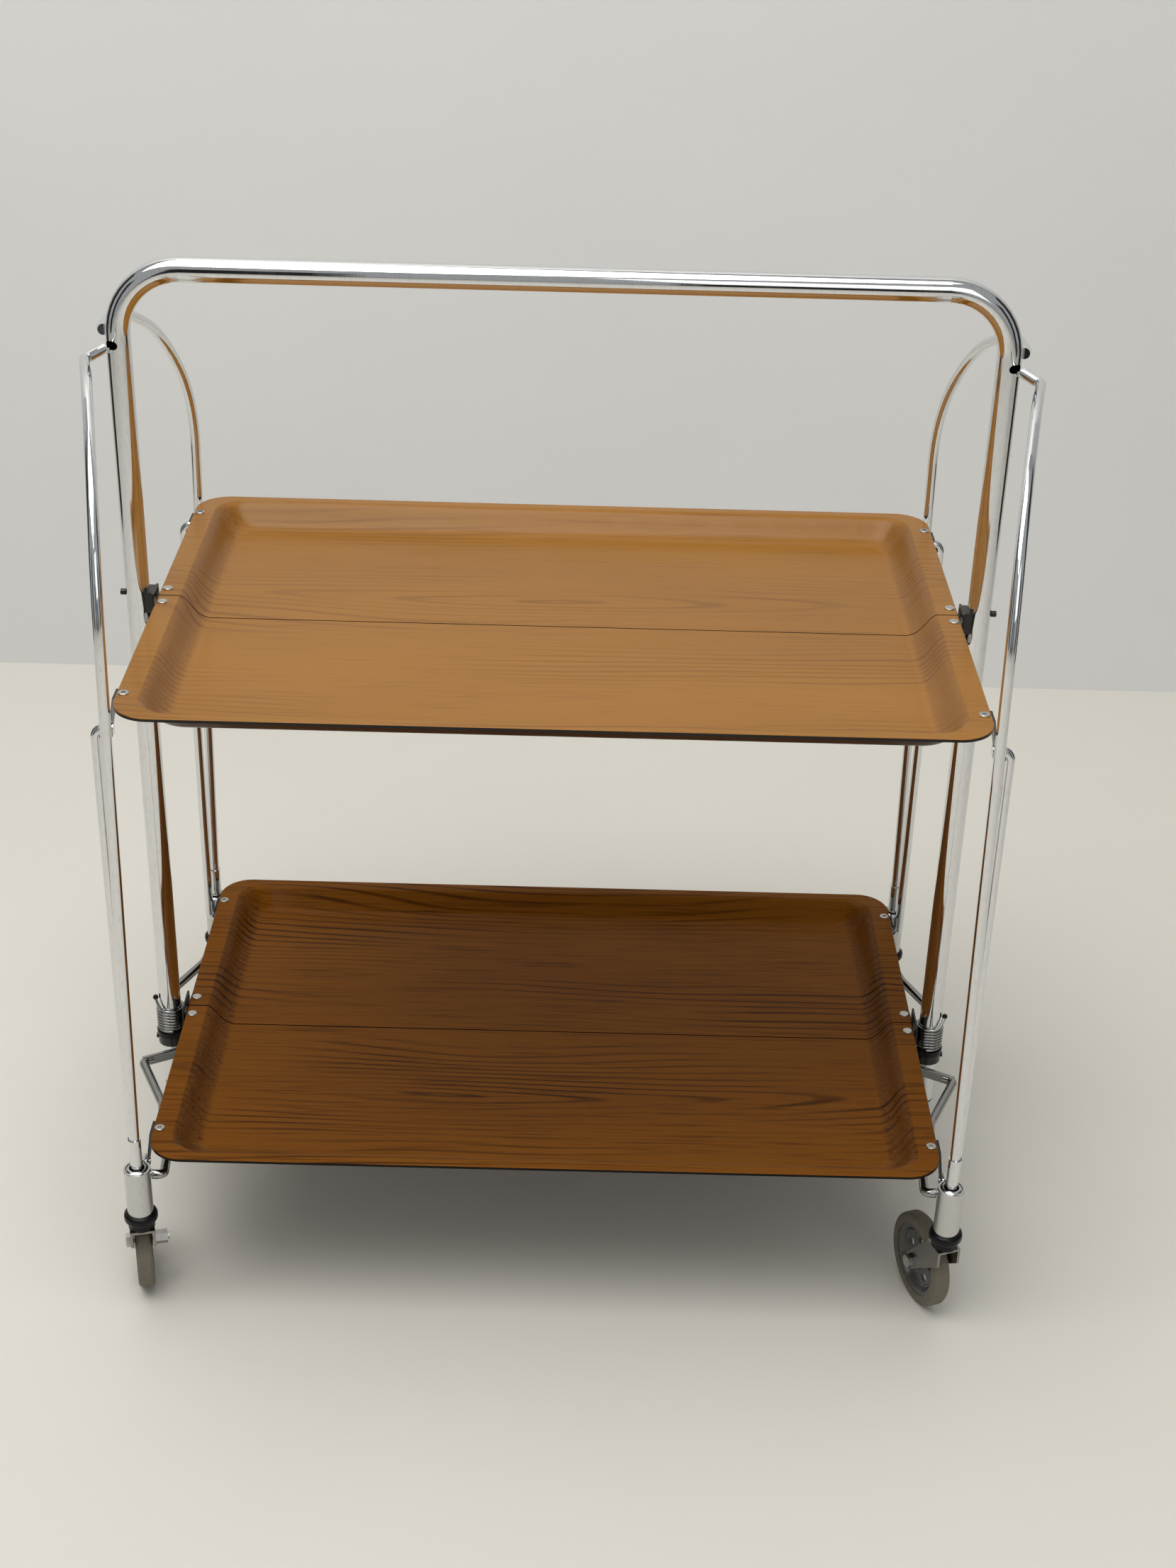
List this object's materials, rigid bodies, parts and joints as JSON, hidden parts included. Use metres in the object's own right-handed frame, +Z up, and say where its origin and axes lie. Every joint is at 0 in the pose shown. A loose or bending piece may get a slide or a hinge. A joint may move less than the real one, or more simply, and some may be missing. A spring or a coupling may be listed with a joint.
{
  "type": "folding serving trolley",
  "caption": "Folding serving trolley: dished rectangular trays, hinged along the middle, on a bent tube handle with sprung bent-rod legs and swivel casters.",
  "frame": {"origin": "centre of the footprint at floor level, halfway between the handle's legs", "axes": "+X along the trays' length to the right, +Y from front to rear across the fold, +Z up"},
  "size_m": [0.6896, 0.426, 0.785],
  "materials": {
    "laminate": "gloss wood-grain laminate",
    "chrome": "polished",
    "steel": "zinc plated",
    "dark_metal": "dark satin",
    "black_plastic": "satin",
    "hub_plastic": "satin",
    "tyre": "matt"
  },
  "bodies": {
    "handle": {"handle_tube": "chrome", "tube_end_caps": "black_plastic", "upper_hinge_plates": "dark_metal", "lower_hinge_plates": "dark_metal", "hinge_pins": "steel", "cross_pins": "dark_metal", "tube_springs": "steel", "spring_fittings": "black_plastic"},
    "upper_front_half": {"upper_tray_front": "laminate", "upper_front_leaves": "dark_metal", "upper_front_brackets": "dark_metal", "upper_front_rivets": "steel"},
    "upper_rear_half": {"upper_tray_rear": "laminate", "upper_rear_leaves": "dark_metal", "upper_rear_brackets": "dark_metal", "upper_rear_rivets": "steel"},
    "lower_front_half": {"lower_tray_front": "laminate", "lower_front_leaves": "dark_metal", "lower_front_brackets": "dark_metal", "lower_front_rivets": "steel"},
    "lower_rear_half": {"lower_tray_rear": "laminate", "lower_rear_leaves": "dark_metal", "lower_rear_brackets": "dark_metal", "lower_rear_rivets": "steel"},
    "leg_front_left": {"caster_socket_front_left": "chrome", "socket_bush_front_left": "black_plastic", "tie_rod_front_left": "chrome"},
    "stay_arm_front_left": {"stay_front_left": "chrome"},
    "brace_arm_front_left": {"brace_front_left": "chrome"},
    "swivel_front_left": {"caster_fork_front_left": "steel", "axle_bolt_front_left": "steel"},
    "wheel_front_left": {"wheel_hub_front_left": "hub_plastic", "tyre_front_left": "tyre"},
    "leg_front_right": {"caster_socket_front_right": "chrome", "socket_bush_front_right": "black_plastic", "tie_rod_front_right": "chrome"},
    "stay_arm_front_right": {"stay_front_right": "chrome"},
    "brace_arm_front_right": {"brace_front_right": "chrome"},
    "swivel_front_right": {"caster_fork_front_right": "steel", "axle_bolt_front_right": "steel"},
    "wheel_front_right": {"wheel_hub_front_right": "hub_plastic", "tyre_front_right": "tyre"},
    "leg_rear_left": {"caster_socket_rear_left": "chrome", "socket_bush_rear_left": "black_plastic", "tie_rod_rear_left": "chrome"},
    "stay_arm_rear_left": {"stay_rear_left": "chrome"},
    "brace_arm_rear_left": {"brace_rear_left": "chrome"},
    "swivel_rear_left": {"caster_fork_rear_left": "steel", "axle_bolt_rear_left": "steel"},
    "wheel_rear_left": {"wheel_hub_rear_left": "hub_plastic", "tyre_rear_left": "tyre"},
    "leg_rear_right": {"caster_socket_rear_right": "chrome", "socket_bush_rear_right": "black_plastic", "tie_rod_rear_right": "chrome"},
    "stay_arm_rear_right": {"stay_rear_right": "chrome"},
    "brace_arm_rear_right": {"brace_rear_right": "chrome"},
    "swivel_rear_right": {"caster_fork_rear_right": "steel", "axle_bolt_rear_right": "steel"},
    "wheel_rear_right": {"wheel_hub_rear_right": "hub_plastic", "tyre_rear_right": "tyre"}
  },
  "joints": [
    {"name": "fold", "type": "hinge", "parent": "handle", "child": "upper_front_half", "pos_m": [0, -0.008, 0.5055], "axis": [1, 0, 0], "range_deg": [0, 63]},
    {"name": "upper_rear_hinge", "type": "hinge", "parent": "handle", "child": "upper_rear_half", "pos_m": [0, 0.008, 0.5055], "axis": [-1, 0, 0], "range_deg": [0, 63]},
    {"name": "lower_front_hinge", "type": "hinge", "parent": "handle", "child": "lower_front_half", "pos_m": [0, -0.008, 0.1285], "axis": [1, 0, 0], "range_deg": [0, 63]},
    {"name": "lower_rear_hinge", "type": "hinge", "parent": "handle", "child": "lower_rear_half", "pos_m": [0, 0.008, 0.1285], "axis": [-1, 0, 0], "range_deg": [0, 63]},
    {"name": "leg_front_left_pivot", "type": "hinge", "parent": "upper_front_half", "child": "leg_front_left", "pos_m": [-0.3067, -0.186, 0.5055], "axis": [-1, 0, 0], "range_deg": [0, 63]},
    {"name": "brace_front_left_pivot", "type": "hinge", "parent": "handle", "child": "brace_arm_front_left", "pos_m": [-0.3016, -0.014, 0.121], "axis": [1, 0, 0], "range_deg": [0, 63]},
    {"name": "stay_front_left_spread", "type": "hinge", "parent": "leg_front_left", "child": "stay_arm_front_left", "pos_m": [-0.313, -0.2, 0.1148], "axis": [0, -1, 0], "range_deg": [0, 3.2]},
    {"name": "caster_front_left_swivel", "type": "hinge", "parent": "leg_front_left", "child": "swivel_front_left", "pos_m": [-0.313, -0.2, 0.08], "axis": [0, 0, 1], "continuous": true},
    {"name": "leg_front_right_pivot", "type": "hinge", "parent": "upper_front_half", "child": "leg_front_right", "pos_m": [0.3067, -0.186, 0.5055], "axis": [-1, 0, 0], "range_deg": [0, 63]},
    {"name": "brace_front_right_pivot", "type": "hinge", "parent": "handle", "child": "brace_arm_front_right", "pos_m": [0.3016, -0.014, 0.121], "axis": [1, 0, 0], "range_deg": [0, 63]},
    {"name": "stay_front_right_spread", "type": "hinge", "parent": "leg_front_right", "child": "stay_arm_front_right", "pos_m": [0.313, -0.2, 0.1148], "axis": [0, 1, 0], "range_deg": [0, 3.2]},
    {"name": "caster_front_right_swivel", "type": "hinge", "parent": "leg_front_right", "child": "swivel_front_right", "pos_m": [0.313, -0.2, 0.08], "axis": [0, 0, 1], "continuous": true},
    {"name": "leg_rear_left_pivot", "type": "hinge", "parent": "upper_rear_half", "child": "leg_rear_left", "pos_m": [-0.3067, 0.186, 0.5055], "axis": [1, 0, 0], "range_deg": [0, 63]},
    {"name": "brace_rear_left_pivot", "type": "hinge", "parent": "handle", "child": "brace_arm_rear_left", "pos_m": [-0.3016, 0.014, 0.121], "axis": [-1, 0, 0], "range_deg": [0, 63]},
    {"name": "stay_rear_left_spread", "type": "hinge", "parent": "leg_rear_left", "child": "stay_arm_rear_left", "pos_m": [-0.313, 0.2, 0.1148], "axis": [0, -1, 0], "range_deg": [0, 0.84]},
    {"name": "caster_rear_left_swivel", "type": "hinge", "parent": "leg_rear_left", "child": "swivel_rear_left", "pos_m": [-0.313, 0.2, 0.08], "axis": [0, 0, 1], "continuous": true},
    {"name": "leg_rear_right_pivot", "type": "hinge", "parent": "upper_rear_half", "child": "leg_rear_right", "pos_m": [0.3067, 0.186, 0.5055], "axis": [1, 0, 0], "range_deg": [0, 63]},
    {"name": "brace_rear_right_pivot", "type": "hinge", "parent": "handle", "child": "brace_arm_rear_right", "pos_m": [0.3016, 0.014, 0.121], "axis": [-1, 0, 0], "range_deg": [0, 63]},
    {"name": "stay_rear_right_spread", "type": "hinge", "parent": "leg_rear_right", "child": "stay_arm_rear_right", "pos_m": [0.313, 0.2, 0.1148], "axis": [0, 1, 0], "range_deg": [0, 0.84]},
    {"name": "caster_rear_right_swivel", "type": "hinge", "parent": "leg_rear_right", "child": "swivel_rear_right", "pos_m": [0.313, 0.2, 0.08], "axis": [0, 0, 1], "continuous": true},
    {"name": "wheel_front_left_spin", "type": "hinge", "parent": "swivel_front_left", "child": "wheel_front_left", "pos_m": [-0.31997, -0.1698, 0.038], "axis": [0.9744, 0.225, 0], "continuous": true},
    {"name": "wheel_front_right_spin", "type": "hinge", "parent": "swivel_front_right", "child": "wheel_front_right", "pos_m": [0.3024, -0.17087, 0.038], "axis": [0.9397, 0.342, 0], "continuous": true},
    {"name": "wheel_rear_left_spin", "type": "hinge", "parent": "swivel_rear_left", "child": "wheel_rear_left", "pos_m": [-0.313, 0.169, 0.038], "axis": [-1, 0, 0], "continuous": true},
    {"name": "wheel_rear_right_spin", "type": "hinge", "parent": "swivel_rear_right", "child": "wheel_rear_right", "pos_m": [0.30656, 0.16968, 0.038], "axis": [-0.9781, 0.2079, 0], "continuous": true}
  ],
  "couplings": [
    {"joint": "upper_rear_hinge", "follows": "fold", "ratio": 1},
    {"joint": "lower_front_hinge", "follows": "fold", "ratio": 1},
    {"joint": "lower_rear_hinge", "follows": "fold", "ratio": 1},
    {"joint": "leg_front_left_pivot", "follows": "fold", "ratio": 1},
    {"joint": "brace_front_left_pivot", "follows": "fold", "ratio": 1},
    {"joint": "stay_front_left_spread", "follows": "fold", "ratio": 0.05},
    {"joint": "leg_front_right_pivot", "follows": "fold", "ratio": 1},
    {"joint": "brace_front_right_pivot", "follows": "fold", "ratio": 1},
    {"joint": "stay_front_right_spread", "follows": "fold", "ratio": 0.05},
    {"joint": "leg_rear_left_pivot", "follows": "fold", "ratio": 1},
    {"joint": "brace_rear_left_pivot", "follows": "fold", "ratio": 1},
    {"joint": "stay_rear_left_spread", "follows": "fold", "ratio": 0.0125},
    {"joint": "leg_rear_right_pivot", "follows": "fold", "ratio": 1},
    {"joint": "brace_rear_right_pivot", "follows": "fold", "ratio": 1},
    {"joint": "stay_rear_right_spread", "follows": "fold", "ratio": 0.0125}
  ]
}
